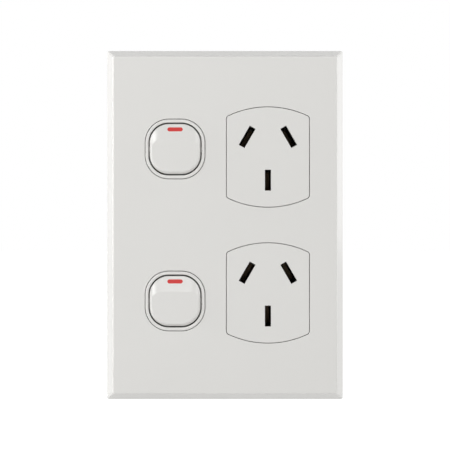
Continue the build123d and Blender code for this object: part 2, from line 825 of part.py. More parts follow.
with BuildPart() as terminal_screws:
    with BuildSketch(front(-clamp_tip)):
        with Locations(*[(x, 0) for x in terminal_xs]):
            Circle(clamp_radius - screw_fit)
    extrude(amount=clamp_tip - clamp_seat)
    with BuildSketch(front(-clamp_seat)):
        with Locations(*[(x, 0) for x in terminal_xs]):
            Circle(clamp_head_radius)
    extrude(amount=-clamp_head_height)
    with BuildSketch(front(-clamp_seat - clamp_head_height)):
        with Locations(*[(x, 0) for x in terminal_xs]):
            Rectangle(2 * clamp_head_radius, driver_slot)
    extrude(amount=driver_slot_depth, mode=Mode.SUBTRACT)
save(terminal_screws.part, "terminal_screws")


# Rear housing: a back box with a turret round each terminal
turret_width = terminal_width + 2 * (terminal_fit + turret_wall)
turret_length = terminal_length + 2 * (terminal_fit + turret_wall)
with BuildPart() as rear_housing:
    with BuildSketch(front(0)):
        RectangleRounded(housing_width, housing_height, housing_corner_radius)
    extrude(amount=-housing_back)
    fillet(rear_housing.faces().sort_by(Axis.Y)[-1].edges(), housing_edge_radius)
    with BuildSketch(front(0)):
        RectangleRounded(
            housing_inner_width,
            housing_inner_height,
            housing_corner_radius - housing_wall,
        )
    extrude(amount=-housing_floor, mode=Mode.SUBTRACT)
    with BuildSketch(front(-housing_floor)):
        with Locations(*[(x, 0) for x in terminal_xs]):
            RectangleRounded(turret_width, turret_length, turret_wall)
    extrude(amount=housing_floor - turret_back)
    with BuildSketch(front(-housing_floor)):
        with Locations(*[(x, 0) for x in terminal_xs]):
            Rectangle(terminal_width + 2 * terminal_fit, terminal_length + 2 * terminal_fit)
    extrude(amount=housing_floor - terminal_back - strip_gap, mode=Mode.SUBTRACT)
    with BuildSketch(front(-turret_back)):
        with Locations(*[(x, 0) for x in terminal_xs]):
            Circle(clamp_head_radius + funnel_clearance)
    extrude(amount=turret_back - terminal_back, mode=Mode.SUBTRACT)
    with BuildSketch(Plane.XY):
        with Locations(*[(x, wire_depth) for x in terminal_xs]):
            Circle(wire_bore_radius + funnel_clearance)
    extrude(amount=turret_length, both=True, mode=Mode.SUBTRACT)
    with BuildSketch(front(-housing_back)):
        with Locations(*boss_places):
            Circle(pilot_radius + screw_hole_clearance)
    extrude(amount=housing_floor_thickness, mode=Mode.SUBTRACT)
    with BuildSketch(front(-housing_back)):
        with Locations(*boss_places):
            Circle(screw_head_radius + screw_hole_clearance)
    extrude(amount=screw_head_height, mode=Mode.SUBTRACT)
save(rear_housing.part, "rear_housing")

with BuildPart() as housing_screws:
    with BuildSketch(front(-housing_back + screw_head_height)):
        with Locations(*boss_places):
            Circle(pilot_radius - screw_fit)
    extrude(amount=screw_length)
    with BuildSketch(front(-housing_back)):
        with Locations(*boss_places):
            Circle(screw_head_radius)
    extrude(amount=screw_head_height)
    with BuildSketch(front(-housing_back)):
        with Locations(*boss_places):
            Rectangle(2 * screw_head_radius - driver_slot, driver_slot)
            Rectangle(driver_slot, 2 * screw_head_radius - driver_slot)
    extrude(amount=driver_slot_depth, mode=Mode.SUBTRACT)
save(housing_screws.part, "housing_screws")
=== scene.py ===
"""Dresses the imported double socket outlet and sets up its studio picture.

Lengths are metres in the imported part's own frame: X runs right across the plate, Y into the wall and
Z up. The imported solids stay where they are. Each class below finishes the nodes of one sub-assembly,
builds the screws or springs that its solids leave plain, and says which body they ride on.
"""

import json
import logging
import math
from abc import ABC, abstractmethod
from dataclasses import dataclass
from enum import Enum
from typing import ClassVar

import bmesh
import bpy
from mathutils import Matrix, Vector

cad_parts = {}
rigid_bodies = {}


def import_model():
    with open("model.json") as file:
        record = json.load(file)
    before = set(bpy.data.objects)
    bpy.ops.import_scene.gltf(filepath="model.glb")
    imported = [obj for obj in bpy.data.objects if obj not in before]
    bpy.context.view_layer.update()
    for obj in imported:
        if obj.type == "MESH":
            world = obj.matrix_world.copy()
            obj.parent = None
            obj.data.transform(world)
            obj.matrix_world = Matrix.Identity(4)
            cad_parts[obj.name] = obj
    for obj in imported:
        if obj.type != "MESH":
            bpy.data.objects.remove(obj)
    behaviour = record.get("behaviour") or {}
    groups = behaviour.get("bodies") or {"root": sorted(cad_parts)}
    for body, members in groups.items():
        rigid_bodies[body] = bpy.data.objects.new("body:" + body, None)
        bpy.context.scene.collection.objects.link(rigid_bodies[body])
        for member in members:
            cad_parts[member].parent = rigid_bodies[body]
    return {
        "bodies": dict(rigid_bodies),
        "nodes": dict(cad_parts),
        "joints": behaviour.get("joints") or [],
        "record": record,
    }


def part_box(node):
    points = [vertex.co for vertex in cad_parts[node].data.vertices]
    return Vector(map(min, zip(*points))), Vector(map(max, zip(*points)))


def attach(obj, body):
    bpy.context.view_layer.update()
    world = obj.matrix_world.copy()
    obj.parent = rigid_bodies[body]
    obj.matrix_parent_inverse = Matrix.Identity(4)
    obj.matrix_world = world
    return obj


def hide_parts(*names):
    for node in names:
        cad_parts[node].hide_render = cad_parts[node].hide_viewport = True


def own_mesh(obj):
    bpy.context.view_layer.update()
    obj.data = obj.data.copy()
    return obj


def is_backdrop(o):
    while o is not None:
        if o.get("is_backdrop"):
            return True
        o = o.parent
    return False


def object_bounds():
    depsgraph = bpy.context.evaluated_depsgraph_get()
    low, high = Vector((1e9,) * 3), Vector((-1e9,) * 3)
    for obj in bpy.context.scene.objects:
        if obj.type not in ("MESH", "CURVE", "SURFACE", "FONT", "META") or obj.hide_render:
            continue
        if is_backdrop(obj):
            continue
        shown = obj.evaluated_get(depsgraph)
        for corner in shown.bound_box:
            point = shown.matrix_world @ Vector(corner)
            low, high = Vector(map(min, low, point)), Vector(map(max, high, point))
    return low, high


LOG = logging.getLogger("double_socket_outlet")
HOUSING = "housing"
UP = Vector((0.0, 0.0, 1.0))
QUARTERS = 4
QUARTER_TURN = math.tau / QUARTERS
SHARP_ANGLE = math.radians(32)
FULL_METAL = 1.0
OPAQUE = 1.0
NUMBER_SOCKET = "NodeSocketFloat"
MIX_COLOUR_A = 6
MIX_COLOUR_B = 7
MIX_COLOUR_RESULT = 2

Triple = tuple[float, float, float]
Colour = Triple
Ring = list[bmesh.types.BMVert]
Socket = bpy.types.NodeSocket
Outputs = bpy.types.NodeOutputs
Inputs = bpy.types.NodeInputs


class Place(Enum):
    """Which of the two switches or sockets a piece belongs to."""

    UPPER = "upper"
    LOWER = "lower"


class Circuit(Enum):
    """The three conductors that the outlet is wired with."""

    ACTIVE = "active"
    NEUTRAL = "neutral"
    EARTH = "earth"


class Drive(Enum):
    """The recess in a screw's head."""

    SLOT = "slot"
    CROSS = "cross"


class Slot(Enum):
    """The record's material slots."""

    WHITE_PLASTIC = "white_plastic"
    RED_MARKER = "red_marker"
    GREY_PLASTIC = "grey_plastic"
    BLACK_PLASTIC = "black_plastic"
    CONTACT_BRONZE = "contact_bronze"
    CONTACT_SILVER = "contact_silver"
    TERMINAL_BRASS = "terminal_brass"
    PLATED_STEEL = "plated_steel"
    SPRING_STEEL = "spring_steel"
    NATURAL_NYLON = "natural_nylon"


class NodeSheet:
    """A node tree with short calls for adding nodes and joining them."""

    def __init__(self, tree: bpy.types.NodeTree) -> None:
        """Works on this tree."""
        self.tree = tree

    def add(self, kind: str, **settings: object) -> bpy.types.Node:
        """Adds a node.

        Args:
            kind: Blender's name for the node's type.
            settings: Properties to set on the node.

        Returns:
            The new node.
        """
        node = self.tree.nodes.new(kind)
        for name, value in settings.items():
            setattr(node, name, value)
        return node

    def join(self, source: Socket, target: Socket) -> None:
        """Links an output to an input."""
        self.tree.links.new(source, target)

    def feed(self, term: float | tuple[float, ...] | Socket, target: Socket) -> None:
        """Gives an input a number, a colour, or another node's output.

        Args:
            term: The number, the colour or the output.
            target: The input.
        """
        if isinstance(term, Socket):
            self.join(term, target)
        else:
            target.default_value = term

    def arithmetic(self, operation: str, *terms: float | Socket) -> Socket:
        """Adds a Math node.

        Args:
            operation: The Math node's operation.
            terms: Its inputs in order, each a number or another node's output.

        Returns:
            The result's socket.
        """
        node = self.add("ShaderNodeMath", operation=operation)
        for target, term in zip(node.inputs, terms):
            self.feed(term, target)
        return node.outputs["Value"]

    def spread(self, value: Socket, low: float, high: float) -> Socket:
        """Maps a 0 to 1 value onto a range.

        Args:
            value: The value to map.
            low: What 0 becomes.
            high: What 1 becomes.

        Returns:
            The mapped value's socket.
        """
        node = self.add("ShaderNodeMapRange")
        self.join(value, node.inputs["Value"])
        node.inputs["To Min"].default_value = low
        node.inputs["To Max"].default_value = high
        return node.outputs["Result"]

    def own_place(self) -> Socket:
        """Gives a point's place in the piece's own coordinates."""
        return self.add("ShaderNodeTexCoord").outputs["Object"]

    def per_metre(self, size: Socket) -> Socket:
        """Turns the size of a feature into how many there are in a metre."""
        return self.arithmetic("DIVIDE", 1.0, size)

    def noise(self, place: Socket, scale: Socket, detail: float) -> Socket:
        """Adds one layer of noise.

        Args:
            place: The coordinates that it follows.
            scale: How many features there are in a metre.
            detail: How many finer layers it carries.

        Returns:
            The noise as a value around 0.5.
        """
        noise = self.add("ShaderNodeTexNoise")
        noise.inputs["Detail"].default_value = detail
        self.join(place, noise.inputs["Vector"])
        self.join(scale, noise.inputs["Scale"])
        return noise.outputs["Fac"]

    def two_tone(self, mask: Socket, first: Colour | Socket, second: Colour) -> Socket:
        """Blends two colours by a mask that changes over the surface.

        Args:
            mask: 0 for the first colour, 1 for the second.
            first: The first colour, or a socket that carries it.
            second: The second colour.

        Returns:
            The blended colour's socket.
        """
        mix = self.add("ShaderNodeMix", data_type="RGBA")
        self.join(mask, mix.inputs["Factor"])
        self.feed(first if isinstance(first, Socket) else (*first, OPAQUE), mix.inputs[MIX_COLOUR_A])
        self.feed((*second, OPAQUE), mix.inputs[MIX_COLOUR_B])
        return mix.outputs[MIX_COLOUR_RESULT]

    def blend_shaders(self, share: float | Socket, first: Socket, second: Socket) -> Socket:
        """Blends two shaders.

        Args:
            share: 0 for the first shader, 1 for the second.
            first: The first shader.
            second: The second shader.

        Returns:
            The blended shader's socket.
        """
        mix = self.add("ShaderNodeMixShader")
        for target, term in zip(mix.inputs, (share, first, second)):
            self.feed(term, target)
        return mix.outputs["Shader"]


@dataclass(frozen=True)
class EffectInput:
    """One named number that a shared effect takes, and what it is when nothing is given."""

    name: str
    start: float


class SharedEffect(ABC):
    """A surface effect that several finishes use, built once as a shader node group."""

    name: ClassVar[str]
    inputs: ClassVar[tuple[EffectInput, ...]]
    outputs: ClassVar[tuple[str, ...]]

    def tree(self) -> bpy.types.NodeTree:
        """Finds the effect's group, or builds it the first time.

        Returns:
            The group's node tree.
        """
        found = bpy.data.node_groups.get(self.name)
        if found is not None:
            return found
        tree = bpy.data.node_groups.new(self.name, "ShaderNodeTree")
        for given in self.inputs:
            socket = tree.interface.new_socket(given.name, in_out="INPUT", socket_type=NUMBER_SOCKET)
            socket.default_value = given.start
        for name in self.outputs:
            tree.interface.new_socket(name, in_out="OUTPUT", socket_type=NUMBER_SOCKET)
        sheet = NodeSheet(tree)
        entry = sheet.add("NodeGroupInput")
        leave = sheet.add("NodeGroupOutput")
        self.fill(sheet, entry.outputs, leave.inputs)
        return tree

    def place(self, sheet: NodeSheet, **values: float) -> Outputs:
        """Puts the effect into a material.

        Args:
            sheet: The material's node sheet.
            values: The effect's inputs, with spaces in their names written as underscores.

        Returns:
            The outputs of the group node, which carry the effect.
        """
        node = sheet.add("ShaderNodeGroup", node_tree=self.tree())
        for name, value in values.items():
            node.inputs[name.replace("_", " ")].default_value = value
        return node.outputs

    @abstractmethod
    def fill(self, sheet: NodeSheet, entry: Outputs, leave: Inputs) -> None:
        """Builds the group's nodes between its entry and its exit.

        Args:
            sheet: The group's node sheet.
            entry: The sockets that bring the effect's inputs.
            leave: The sockets that take its outputs.
        """


class MouldGrain(SharedEffect):
    """The surface that a moulding takes from its tool: fine grain, slow ripple and flow mottling."""

    name = "mould_grain"
    inputs = (
        EffectInput("Grain Size", 0.0002),
        EffectInput("Ripple Size", 0.004),
        EffectInput("Ripple Share", 0.5),
    )
    outputs = ("Height", "Mottle", "Gloss")
    grain_detail: ClassVar[float] = 2.0
    ripple_detail: ClassVar[float] = 1.0
    mottle_detail: ClassVar[float] = 3.0
    mottles_in_ripple: ClassVar[float] = 0.25
    grain_in_gloss: ClassVar[float] = 0.5
    mottle_in_gloss: ClassVar[float] = 0.5

    def fill(self, sheet: NodeSheet, entry: Outputs, leave: Inputs) -> None:
        """Mixes three sizes of noise in the piece's own coordinates.

        Args:
            sheet: The group's node sheet.
            entry: The sockets that bring the effect's inputs.
            leave: The sockets that take its outputs.
        """
        place = sheet.own_place()
        grain = sheet.noise(place, sheet.per_metre(entry["Grain Size"]), self.grain_detail)
        ripple_scale = sheet.per_metre(entry["Ripple Size"])
        ripple = sheet.noise(place, ripple_scale, self.ripple_detail)
        mottle_scale = sheet.arithmetic("MULTIPLY", ripple_scale, self.mottles_in_ripple)
        mottle = sheet.noise(place, mottle_scale, self.mottle_detail)
        height = sheet.add("ShaderNodeMix", data_type="FLOAT")
        sheet.join(entry["Ripple Share"], height.inputs["Factor"])
        sheet.join(grain, height.inputs["A"])
        sheet.join(ripple, height.inputs["B"])
        mottled = sheet.arithmetic("MULTIPLY", mottle, self.mottle_in_gloss)
        gloss = sheet.arithmetic("MULTIPLY_ADD", grain, self.grain_in_gloss, mottled)
        sheet.join(height.outputs["Result"], leave["Height"])
        sheet.join(mottle, leave["Mottle"])
        sheet.join(gloss, leave["Gloss"])


class RolledGrain(SharedEffect):
    """The lengthwise lines that rolling and stamping leave on strip metal."""

    name = "rolled_grain"
    inputs = (EffectInput("Line Width", 0.0001), EffectInput("Line Length", 0.006))
    outputs = ("Height", "Tarnish")
    line_scale: ClassVar[float] = 1.0
    tarnish_detail: ClassVar[float] = 4.0

    def fill(self, sheet: NodeSheet, entry: Outputs, leave: Inputs) -> None:
        """Stretches noise along Z for the lines, and adds a slow tarnish.

        Args:
            sheet: The group's node sheet.
            entry: The sockets that bring the effect's inputs.
            leave: The sockets that take its outputs.
        """
        place = sheet.own_place()
        across = sheet.per_metre(entry["Line Width"])
        along = sheet.per_metre(entry["Line Length"])
        scale = sheet.add("ShaderNodeCombineXYZ")
        sheet.join(across, scale.inputs["X"])
        sheet.join(across, scale.inputs["Y"])
        sheet.join(along, scale.inputs["Z"])
        stretched = sheet.add("ShaderNodeVectorMath", operation="MULTIPLY")
        sheet.join(place, stretched.inputs[0])
        sheet.join(scale.outputs["Vector"], stretched.inputs[1])
        lines = sheet.add("ShaderNodeTexNoise")
        lines.inputs["Scale"].default_value = self.line_scale
        sheet.join(stretched.outputs["Vector"], lines.inputs["Vector"])
        sheet.join(lines.outputs["Fac"], leave["Height"])
        sheet.join(sheet.noise(place, along, self.tarnish_detail), leave["Tarnish"])


class TurnedMarks(SharedEffect):
    """The fine rings that a lathe leaves, round the piece's own Y axis."""

    name = "turned_marks"
    inputs = (EffectInput("Ring Pitch", 0.0001), EffectInput("Stain Size", 0.002))
    outputs = ("Height", "Stain")
    across_axis: ClassVar[Triple] = (1.0, 0.0, 1.0)
    wave_middle: ClassVar[float] = 0.5
    wave_reach: ClassVar[float] = 0.5
    stain_detail: ClassVar[float] = 4.0

    def fill(self, sheet: NodeSheet, entry: Outputs, leave: Inputs) -> None:
        """Makes rings from the distance to the axis, and a stain from noise.

        Args:
            sheet: The group's node sheet.
            entry: The sockets that bring the effect's inputs.
            leave: The sockets that take its outputs.
        """
        place = sheet.own_place()
        flat = sheet.add("ShaderNodeVectorMath", operation="MULTIPLY")
        flat.inputs[1].default_value = self.across_axis
        sheet.join(place, flat.inputs[0])
        reach = sheet.add("ShaderNodeVectorMath", operation="LENGTH")
        sheet.join(flat.outputs["Vector"], reach.inputs[0])
        turns = sheet.arithmetic("DIVIDE", reach.outputs["Value"], entry["Ring Pitch"])
        wave = sheet.arithmetic("SINE", sheet.arithmetic("MULTIPLY", turns, math.tau))
        rings = sheet.arithmetic("MULTIPLY_ADD", wave, self.wave_reach, self.wave_middle)
        stain = sheet.noise(place, sheet.per_metre(entry["Stain Size"]), self.stain_detail)
        sheet.join(rings, leave["Height"])
        sheet.join(stain, leave["Stain"])


class SettledDust(SharedEffect):
    """A thin film of dust on what faces up, broken up by noise."""

    name = "settled_dust"
    inputs = (EffectInput("Amount", 0.2), EffectInput("Patch Size", 0.003))
    outputs = ("Mask",)
    patch_detail: ClassVar[float] = 4.0

    def fill(self, sheet: NodeSheet, entry: Outputs, leave: Inputs) -> None:
        """Multiplies the upward slope by patches of noise.

        Args:
            sheet: The group's node sheet.
            entry: The sockets that bring the effect's inputs.
            leave: The sockets that take its outputs.
        """
        facing = sheet.add("ShaderNodeSeparateXYZ")
        sheet.join(sheet.add("ShaderNodeNewGeometry").outputs["Normal"], facing.inputs["Vector"])
        upward = sheet.arithmetic("MAXIMUM", facing.outputs["Z"], 0.0)
        patch_scale = sheet.per_metre(entry["Patch Size"])
        patches = sheet.noise(sheet.own_place(), patch_scale, self.patch_detail)
        film = sheet.arithmetic("MULTIPLY", upward, patches)
        sheet.join(sheet.arithmetic("MULTIPLY", film, entry["Amount"]), leave["Mask"])


class EdgeWearAndSheen(SharedEffect):
    """The line along a piece's edges that handling, trimming or tumbling rubs, and that also carries a
    painted highlight (sheen).
    """

    name = "edge_wear_and_sheen"
    inputs = (
        EffectInput("Width", 0.0003),
        EffectInput("Amount", 0.5),
        EffectInput("Patch Size", 0.002),
    )
    outputs = ("Mask",)
    rounding_samples: ClassVar[int] = 4
    full_bend: ClassVar[float] = 0.3
    patch_detail: ClassVar[float] = 3.0
    least_rubbing: ClassVar[float] = 0.4
    most_rubbing: ClassVar[float] = 1.6

    def fill(self, sheet: NodeSheet, entry: Outputs, leave: Inputs) -> None:
        """Finds edges from how far a rounded normal turns away from the true one, in noisy patches.

        Args:
            sheet: The group's node sheet.
            entry: The sockets that bring the effect's inputs.
            leave: The sockets that take its outputs.
        """
        # Edge mask: rubbed wear, and also where the painted highlight (sheen) along the edges goes.
        rounded = sheet.add("ShaderNodeBevel", samples=self.rounding_samples)
        sheet.join(entry["Width"], rounded.inputs["Radius"])
        agreement = sheet.add("ShaderNodeVectorMath", operation="DOT_PRODUCT")
        sheet.join(rounded.outputs["Normal"], agreement.inputs[0])
        sheet.join(sheet.add("ShaderNodeNewGeometry").outputs["Normal"], agreement.inputs[1])
        bend = sheet.arithmetic("SUBTRACT", 1.0, agreement.outputs["Value"])
        wear_and_sheen_edge = sheet.arithmetic("MINIMUM", sheet.arithmetic("DIVIDE", bend, self.full_bend), 1.0)
        patch_scale = sheet.per_metre(entry["Patch Size"])
        patches = sheet.noise(sheet.own_place(), patch_scale, self.patch_detail)
        rubbing = sheet.spread(patches, self.least_rubbing, self.most_rubbing)
        rubbed_and_sheen = sheet.arithmetic("MULTIPLY", wear_and_sheen_edge, rubbing)
        sheet.join(sheet.arithmetic("MULTIPLY", rubbed_and_sheen, entry["Amount"]), leave["Mask"])


def blank_material(name: str) -> tuple[bpy.types.Material, NodeSheet, bpy.types.Node]:
    """Starts a material with nothing but its output.

    Args:
        name: The material's name.

    Returns:
        The material, its node sheet and its output node.
    """
    material = bpy.data.materials.new(name)
    material.use_nodes = True
    material.node_tree.nodes.clear()
    sheet = NodeSheet(material.node_tree)
    return material, sheet, sheet.add("ShaderNodeOutputMaterial")


@dataclass(frozen=True, kw_only=True)
class SurfaceFinish(ABC):
    """What every finish has: a colour, a gloss, a fine relief, and edges that differ from the rest,
    partly as rubbed wear and partly as a painted highlight.
    """

    slot: Slot
    colour: Colour
    roughness: float
    roughness_spread: float
    depth: float
    # Colour along the edges: rubbed wear and a painted highlight (sheen).
    wear_and_sheen_edge: Colour
    edge_width: float
    edge_amount: float

    def material(self) -> bpy.types.Material:
        """Builds the finish.

        Returns:
            The finish's material.
        """
        material, sheet, output = blank_material(self.slot.value)
        shader = sheet.add("ShaderNodeBsdfPrincipled")
        sheet.join(shader.outputs["BSDF"], output.inputs["Surface"])
        # Edge mask for rubbed wear and for the painted highlight (sheen) along the edges.
        wear_and_sheen = EdgeWearAndSheen().place(sheet, Width=self.edge_width, Amount=self.edge_amount)["Mask"]
        bump = sheet.add("ShaderNodeBump")
        bump.inputs["Distance"].default_value = self.depth
        sheet.join(self.dress(sheet, shader, wear_and_sheen), bump.inputs["Height"])
        sheet.join(bump.outputs["Normal"], shader.inputs["Normal"])
        return material

    @abstractmethod
    def dress(self, sheet: NodeSheet, shader: bpy.types.Node, wear_and_sheen: Socket) -> Socket:
        """Gives the shader its colour and its gloss.

        Args:
            sheet: The material's node sheet.
            shader: The material's surface shader.
            wear_and_sheen: The mask of the rubbed edges, which also carry a painted highlight.

        Returns:
            The 0 to 1 height of the surface's fine relief.
        """

    def gloss(self, sheet: NodeSheet, mask: Socket) -> Socket:
        """Spreads the roughness to both sides of its middle value.

        Args:
            sheet: The material's node sheet.
            mask: 0 where the surface is glossiest, 1 where it is dullest.

        Returns:
            The roughness's socket.
        """
        low = self.roughness - self.roughness_spread
        high = self.roughness + self.roughness_spread
        return sheet.spread(mask, low, high)


@dataclass(frozen=True, kw_only=True)
class MouldedPlastic(SurfaceFinish):
    """An injection-moulded plastic with tool grain, flow mottling, rubbed edges lightened by a painted
    sheen, and a little dust.
    """

    mottle: Colour
    grain_size: float
    ripple_size: float
    ripple_share: float
    dust: float
    edge_width: float = 0.00025
    edge_amount: float = 0.35
    edge_polish: float = 0.08
    dust_colour: Colour = (0.45, 0.43, 0.40)
    ior: float = 1.47

    def dress(self, sheet: NodeSheet, shader: bpy.types.Node, wear_and_sheen: Socket) -> Socket:
        """Mottles and dusts the colour, lightens the rubbed edges with a painted sheen, and polishes
        them.

        Args:
            sheet: The material's node sheet.
            shader: The material's surface shader.
            wear_and_sheen: The mask of the rubbed edges, which also carry the painted sheen.

        Returns:
            The height of the tool's grain.
        """
        grain = MouldGrain().place(
            sheet,
            Grain_Size=self.grain_size,
            Ripple_Size=self.ripple_size,
            Ripple_Share=self.ripple_share,
        )
        dust = SettledDust().place(sheet, Amount=self.dust)
        plain = sheet.two_tone(grain["Mottle"], self.colour, self.mottle)
        # Lighter colour along the edges: rubbed wear and a painted sheen.
        rubbed_and_sheen = sheet.two_tone(wear_and_sheen, plain, self.wear_and_sheen_edge)
        sheet.join(sheet.two_tone(dust["Mask"], rubbed_and_sheen, self.dust_colour), shader.inputs["Base Color"])
        matt = self.gloss(sheet, grain["Gloss"])
        polished = sheet.arithmetic("MULTIPLY_ADD", wear_and_sheen, -self.edge_polish, matt)
        sheet.join(polished, shader.inputs["Roughness"])
        shader.inputs["IOR"].default_value = self.ior
        return grain["Height"]


@dataclass(frozen=True, kw_only=True)
class BareMetal(SurfaceFinish):
    """Bare metal that its making has marked and time has dulled in places, with edges brightened partly
    as rubbed bare metal and partly as a painted highlight.
    """

    dull: Colour
    edge_amount: float = 0.6

    def dress_metal(self, sheet: NodeSheet, shader: bpy.types.Node, stain: Socket, wear_and_sheen: Socket) -> None:
        """Dulls the colour where it is stained and brightens it along the edges, as wear and as a
        painted highlight.

        Args:
            sheet: The material's node sheet.
            shader: The material's surface shader.
            stain: The mask of what is dull.
            wear_and_sheen: The mask of the rubbed edges, which also carry the painted highlight.
        """
        dulled = sheet.two_tone(stain, self.colour, self.dull)
        # Brighter colour along the edges: rubbed bare metal and a painted highlight.
        sheet.join(sheet.two_tone(wear_and_sheen, dulled, self.wear_and_sheen_edge), shader.inputs["Base Color"])
        shader.inputs["Metallic"].default_value = FULL_METAL


@dataclass(frozen=True, kw_only=True)
class StripMetal(BareMetal):
    """Rolled and stamped strip with lengthwise lines and a little tarnish."""

    line_width: float
    line_length: float
    edge_width: float = 0.00015

    def dress(self, sheet: NodeSheet, shader: bpy.types.Node, wear_and_sheen: Socket) -> Socket:
        """Tarnishes the strip, and takes its gloss from the lines.

        Args:
            sheet: The material's node sheet.
            shader: The material's surface shader.
            wear_and_sheen: The mask of the rubbed edges, which also carry the painted highlight.

        Returns:
            The height of the lines.
        """
        grain = RolledGrain().place(sheet, Line_Width=self.line_width, Line_Length=self.line_length)
        self.dress_metal(sheet, shader, grain["Tarnish"], wear_and_sheen)
        sheet.join(self.gloss(sheet, grain["Height"]), shader.inputs["Roughness"])
        return grain["Height"]


@dataclass(frozen=True, kw_only=True)
class TurnedMetal(BareMetal):
    """Turned metal with fine tool rings and a stain that dulls it in places."""

    ring_pitch: float
    stain_size: float
    edge_width: float = 0.00012

    def dress(self, sheet: NodeSheet, shader: bpy.types.Node, wear_and_sheen: Socket) -> Socket:
        """Stains the metal, in its colour and in its gloss.

        Args:
            sheet: The material's node sheet.
            shader: The material's surface shader.
            wear_and_sheen: The mask of the rubbed edges, which also carry the painted highlight.

        Returns:
            The height of the tool's rings.
        """
        marks = TurnedMarks().place(sheet, Ring_Pitch=self.ring_pitch, Stain_Size=self.stain_size)
        self.dress_metal(sheet, shader, marks["Stain"], wear_and_sheen)
        sheet.join(self.gloss(sheet, marks["Stain"]), shader.inputs["Roughness"])
        return marks["Height"]


# The edge colours below are lighter than each body colour: rubbed wear and a painted highlight along the
# edges.
WHITE_PLASTIC = MouldedPlastic(
    slot=Slot.WHITE_PLASTIC,
    colour=(0.815, 0.807, 0.782),
    mottle=(0.800, 0.792, 0.768),
    roughness=0.18,
    roughness_spread=0.03,
    grain_size=0.0003,
    ripple_size=0.004,
    ripple_share=0.8,
    depth=0.0000025,
    dust=0.02,
    wear_and_sheen_edge=(0.835, 0.829, 0.810),
)
RED_MARKER = MouldedPlastic(
    slot=Slot.RED_MARKER,
    colour=(0.71, 0.060, 0.057),
    mottle=(0.65, 0.051, 0.049),
    roughness=0.38,
    roughness_spread=0.06,
    grain_size=0.0002,
    ripple_size=0.0015,
    ripple_share=0.5,
    depth=0.000003,
    dust=0.02,
    wear_and_sheen_edge=(0.77, 0.11, 0.105),
    ior=1.33,
)
GREY_PLASTIC = MouldedPlastic(
    slot=Slot.GREY_PLASTIC,
    colour=(0.47, 0.48, 0.475),
    mottle=(0.405, 0.415, 0.41),
    roughness=0.52,
    roughness_spread=0.10,
    grain_size=0.0004,
    ripple_size=0.005,
    ripple_share=0.45,
    depth=0.000012,
    dust=0.15,
    wear_and_sheen_edge=(0.60, 0.61, 0.605),
)
BLACK_PLASTIC = MouldedPlastic(
    slot=Slot.BLACK_PLASTIC,
    colour=(0.008, 0.008, 0.007),
    mottle=(0.012, 0.012, 0.011),
    roughness=0.60,
    roughness_spread=0.10,
    grain_size=0.0003,
    ripple_size=0.004,
    ripple_share=0.4,
    depth=0.000010,
    dust=0.02,
    wear_and_sheen_edge=(0.03, 0.03, 0.028),
)
NATURAL_NYLON = MouldedPlastic(
    slot=Slot.NATURAL_NYLON,
    colour=(0.74, 0.70, 0.58),
    mottle=(0.68, 0.63, 0.50),
    roughness=0.42,
    roughness_spread=0.08,
    grain_size=0.0002,
    ripple_size=0.002,
    ripple_share=0.5,
    depth=0.000004,
    dust=0.0,
    wear_and_sheen_edge=(0.80, 0.77, 0.67),
)
CONTACT_BRONZE = StripMetal(
    slot=Slot.CONTACT_BRONZE,
    colour=(0.29, 0.215, 0.15),
    dull=(0.19, 0.135, 0.09),
    roughness=0.38,
    roughness_spread=0.10,
    line_width=0.00012,
    line_length=0.006,
    depth=0.000004,
    wear_and_sheen_edge=(0.46, 0.345, 0.24),
)
CONTACT_SILVER = TurnedMetal(
    slot=Slot.CONTACT_SILVER,
    colour=(0.88, 0.87, 0.84),
    dull=(0.62, 0.58, 0.50),
    roughness=0.28,
    roughness_spread=0.10,
    ring_pitch=0.00012,
    stain_size=0.0015,
    depth=0.000002,
    wear_and_sheen_edge=(0.93, 0.92, 0.90),
)
TERMINAL_BRASS = StripMetal(
    slot=Slot.TERMINAL_BRASS,
    colour=(0.80, 0.56, 0.20),
    dull=(0.62, 0.40, 0.13),
    roughness=0.30,
    roughness_spread=0.10,
    line_width=0.00015,
    line_length=0.004,
    depth=0.000005,
    wear_and_sheen_edge=(0.89, 0.68, 0.32),
)
PLATED_STEEL = TurnedMetal(
    slot=Slot.PLATED_STEEL,
    colour=(0.66, 0.67, 0.66),
    dull=(0.52, 0.53, 0.55),
    roughness=0.30,
    roughness_spread=0.10,
    ring_pitch=0.00010,
    stain_size=0.0018,
    depth=0.000003,
    wear_and_sheen_edge=(0.78, 0.79, 0.79),
)
SPRING_STEEL = StripMetal(
    slot=Slot.SPRING_STEEL,
    colour=(0.50, 0.50, 0.50),
    dull=(0.36, 0.36, 0.37),
    roughness=0.30,
    roughness_spread=0.08,
    line_width=0.00008,
    line_length=0.003,
    depth=0.000002,
    wear_and_sheen_edge=(0.60, 0.60, 0.60),
)


def put_in_scene(name: str, data: bpy.types.ID) -> bpy.types.Object:
    """Makes an object and links it to the scene.

    Args:
        name: The object's name.
        data: Its mesh, light or camera.

    Returns:
        The new object.
    """
    made = bpy.data.objects.new(name, data)
    bpy.context.scene.collection.objects.link(made)
    return made


def mesh_from(shape: bmesh.types.BMesh, name: str) -> bpy.types.Mesh:
    """Turns a bmesh into a mesh and frees it.

    Args:
        shape: The bmesh.
        name: The mesh's name.

    Returns:
        The new mesh.
    """
    mesh = bpy.data.meshes.new(name)
    shape.to_mesh(mesh)
    shape.free()
    return mesh


def close_skin(shape: bmesh.types.BMesh, rings: list[Ring]) -> None:
    """Joins rings of points into a closed skin, with a face over each end.

    Args:
        shape: The bmesh that holds the points.
        rings: The rings in order, each with as many points as the others.
    """
    for ring, following in zip(rings, rings[1:]):
        for side, point in enumerate(ring):
            after = (side + 1) % len(ring)
            shape.faces.new((point, ring[after], following[after], following[side]))
    shape.faces.new(rings[0])
    shape.faces.new(rings[-1])
    bmesh.ops.recalc_face_normals(shape, faces=shape.faces)


def smooth_shading(mesh: bpy.types.Mesh) -> None:
    """Shades a mesh smooth, apart from its sharp edges."""
    mesh.shade_smooth()
    mesh.set_sharp_from_angle(angle=SHARP_ANGLE)


